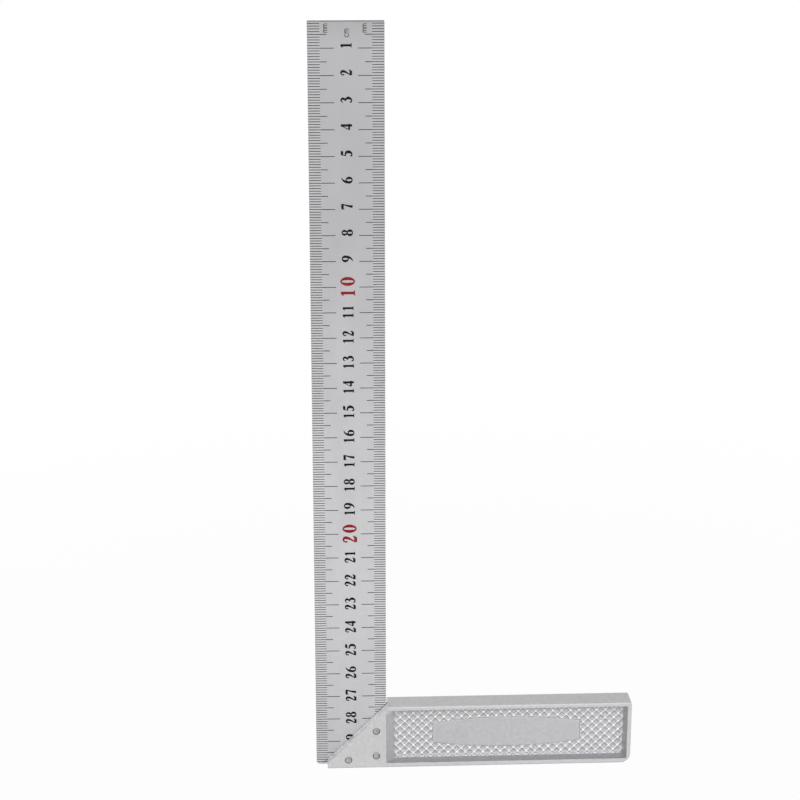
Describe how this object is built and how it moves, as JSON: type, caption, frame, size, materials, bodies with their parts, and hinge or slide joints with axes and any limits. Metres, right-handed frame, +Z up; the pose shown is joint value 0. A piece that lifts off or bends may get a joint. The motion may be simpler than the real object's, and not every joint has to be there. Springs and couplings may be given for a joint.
{
  "type": "try square",
  "caption": "Steel try square: a flat graduated blade riveted at right angles into a slotted, mitred cast stock with ribbed sunk side panels.",
  "frame": {"origin": "centre of the footprint on the stock's outer face, on the blade's mid-plane: 64.25 mm from the blade's outer edge", "axes": "+Z up along the blade towards its tip, +X from the blade along the stock to its free end, Y through the thickness with the front side facing -Y"},
  "size_m": [0.1284, 0.01, 0.3],
  "materials": {
    "blade_steel": "satin, fine grain along the blade",
    "cast_aluminium": "bead-blasted casting with milled outer faces",
    "rivet_metal": "peened and ground flush",
    "ink_black": "etched and filled marks",
    "ink_red": "etched and filled marks"
  },
  "bodies": {
    "root": {"blade": "blade_steel", "stock": "cast_aluminium", "rivet_upper": "rivet_metal", "rivet_lower": "rivet_metal", "rivet_toe": "rivet_metal"}
  },
  "joints": []
}
